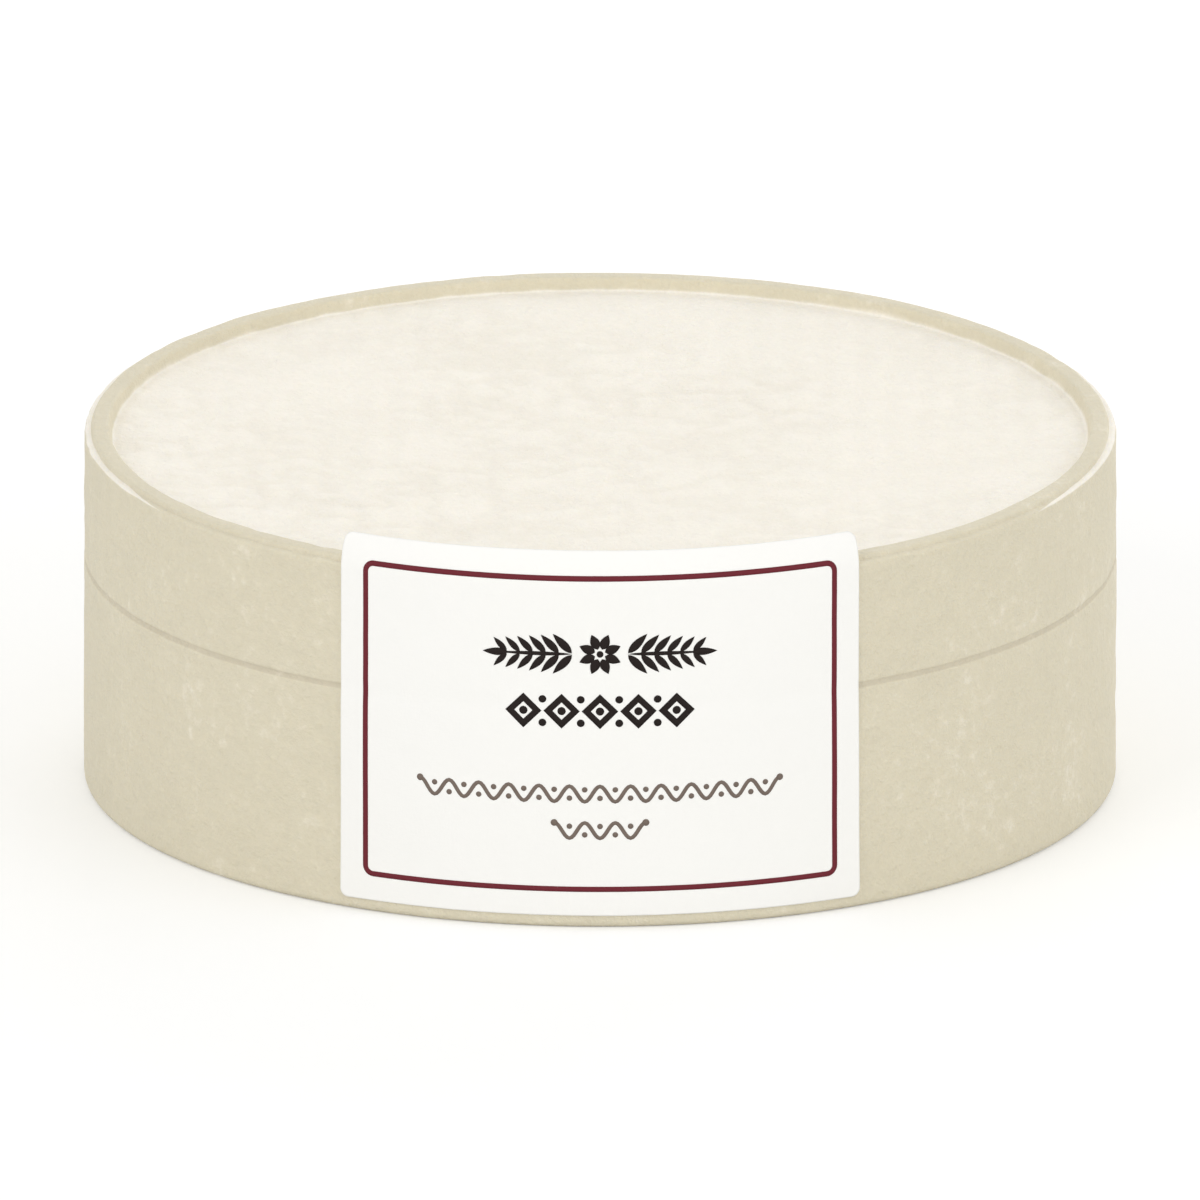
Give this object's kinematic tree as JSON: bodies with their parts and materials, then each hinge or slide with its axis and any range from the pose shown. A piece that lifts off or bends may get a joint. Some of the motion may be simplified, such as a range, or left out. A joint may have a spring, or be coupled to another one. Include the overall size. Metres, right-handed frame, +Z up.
{
  "type": "soft goat cheese",
  "caption": "Round soft goat cheese with a bloomy rind, a raised rim around its sunken top and a paper label on its side.",
  "frame": {"origin": "middle of the flat base the wheel stands on", "axes": "+Z up along the wheel's axis, the label facing -Y, +X to the right of a viewer who faces the label"},
  "size_m": [0.105, 0.1052, 0.04],
  "materials": {
    "rind": "dry, velvety bloom, ivory on top and greige on the side",
    "label_paper": "smooth uncoated off-white paper",
    "label_ink": "matt printed ink"
  },
  "bodies": {
    "root": {"cheese": "rind", "label": "label_paper"}
  },
  "joints": []
}
